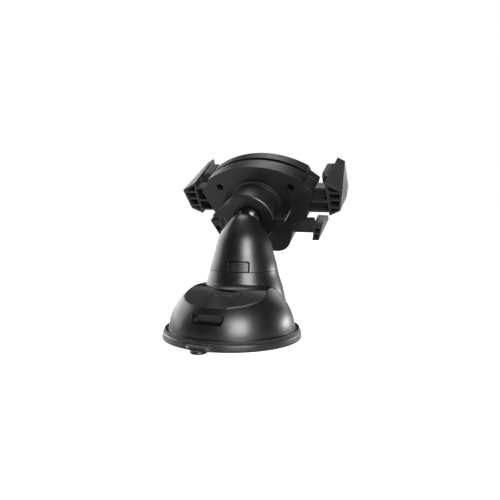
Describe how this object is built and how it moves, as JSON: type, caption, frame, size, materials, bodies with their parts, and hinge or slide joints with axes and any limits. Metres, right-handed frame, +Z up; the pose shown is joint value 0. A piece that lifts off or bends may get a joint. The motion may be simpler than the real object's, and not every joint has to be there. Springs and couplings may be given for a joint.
{
  "type": "car phone mount",
  "caption": "Dashboard phone mount: domed suction base with locking lever, tapered arm, ball joint with winged nut, and a clamping head with sliding feet.",
  "frame": {"origin": "centre of the suction pad's flat underside", "axes": "+Z up from the dashboard; -Y towards the locking lever and pull tab; +Y towards the phone; +X to the right seen from the lever side; mirror plane X = 0"},
  "size_m": [0.1126, 0.1341, 0.1127],
  "materials": {
    "base_plastic": "satin-gloss moulded ABS",
    "button_plastic": "fine-textured moulded ABS",
    "head_plastic": "spark-eroded fine grain, low sheen",
    "jaw_plastic": "moulded nylon, low sheen",
    "inner_plastic": "plain moulded acetal",
    "ball_black": "polished black ball on a steel core",
    "pad_rubber": "soft PU rubber, slight sheen",
    "grip_rubber": "matt silicone",
    "steel": "plated steel"
  },
  "bodies": {
    "base": {"suction_pad": "pad_rubber", "pad_clamp_ring": "inner_plastic", "base_screws": "steel", "base_dome": "base_plastic", "lever_pin": "steel", "rod_spring": "steel"},
    "lever": {"lock_lever": "base_plastic"},
    "rod": {"suction_rod": "inner_plastic", "rod_cross_pin": "steel"},
    "arm": {"arm_shell": "base_plastic", "ball_stud": "ball_black", "button_spring": "steel"},
    "button": {"release_button": "button_plastic"},
    "liner": {"ball_liner": "inner_plastic"},
    "collet": {"ball_collet": "inner_plastic"},
    "nut": {"lock_nut": "head_plastic"},
    "head": {"rear_cover": "head_plastic", "front_shell": "head_plastic", "housing_screws": "steel", "front_pad": "grip_rubber", "clamp_springs": "steel"},
    "pinion": {"clamp_pinion": "inner_plastic"},
    "right_clamp": {"right_clamp_arm": "jaw_plastic", "right_clamp_pad": "grip_rubber"},
    "left_clamp": {"left_clamp_arm": "jaw_plastic", "left_clamp_pad": "grip_rubber"},
    "right_foot": {"right_foot": "jaw_plastic"},
    "left_foot": {"left_foot": "jaw_plastic"}
  },
  "joints": [
    {"name": "lock_lever_turn", "type": "hinge", "parent": "base", "child": "lever", "pos_m": [0, -0.011, 0.0243], "axis": [-1, 0, 0], "range_deg": [0, 32]},
    {"name": "suction_rod_slide", "type": "slide", "parent": "base", "child": "rod", "axis": [0, 0, -1], "range_m": [0, 0.0035], "deforming": ["rod_spring"]},
    {"name": "arm_lift_off", "type": "slide", "parent": "base", "child": "arm", "axis": [0, 0, 1], "range_m": [0, 0.018]},
    {"name": "release_button_press", "type": "slide", "parent": "arm", "child": "button", "axis": [-0.2419, 0.9703, 0], "range_m": [0, 0.002], "stiffness_N_per_m": 600, "springref_m": -0.001, "deforming": ["button_spring"]},
    {"name": "ball_tilt", "type": "hinge", "parent": "arm", "child": "liner", "pos_m": [0, 0.02851, 0.07224], "axis": [1, 0, 0], "range_deg": [-8, 15]},
    {"name": "ball_pan", "type": "hinge", "parent": "liner", "child": "collet", "pos_m": [0, 0.02851, 0.07224], "axis": [0, -0.4924, 0.8704], "range_deg": [-10, 10]},
    {"name": "head_spin", "type": "hinge", "parent": "collet", "child": "head", "pos_m": [0, 0.02851, 0.07224], "axis": [0, -0.8704, -0.4924], "continuous": true},
    {"name": "lock_nut_turn", "type": "hinge", "parent": "head", "child": "nut", "pos_m": [0, 0.02851, 0.07224], "axis": [0, -0.8704, -0.4924], "range_deg": [0, 60]},
    {"name": "right_clamp_slide", "type": "slide", "parent": "head", "child": "right_clamp", "axis": [1, 0, 0], "range_m": [-0.006, 0.009], "deforming": ["clamp_springs"]},
    {"name": "left_clamp_slide", "type": "slide", "parent": "head", "child": "left_clamp", "axis": [1, 0, 0], "range_m": [-0.009, 0.006]},
    {"name": "pinion_turn", "type": "hinge", "parent": "head", "child": "pinion", "pos_m": [0, 0.04969, 0.08376], "axis": [0, -0.8704, -0.4924], "range_deg": [-115, 80]},
    {"name": "right_foot_slide", "type": "slide", "parent": "head", "child": "right_foot", "axis": [1, 0, 0], "range_m": [-0.01, 0.004]},
    {"name": "left_foot_slide", "type": "slide", "parent": "head", "child": "left_foot", "axis": [-1, 0, 0], "range_m": [-0.01, 0.004]}
  ],
  "couplings": [
    {"joint": "lock_lever_turn", "follows": "suction_rod_slide", "rad_per_m": 159.57},
    {"joint": "left_clamp_slide", "follows": "right_clamp_slide", "ratio": -1},
    {"joint": "pinion_turn", "follows": "right_clamp_slide", "rad_per_m": -208.33}
  ]
}
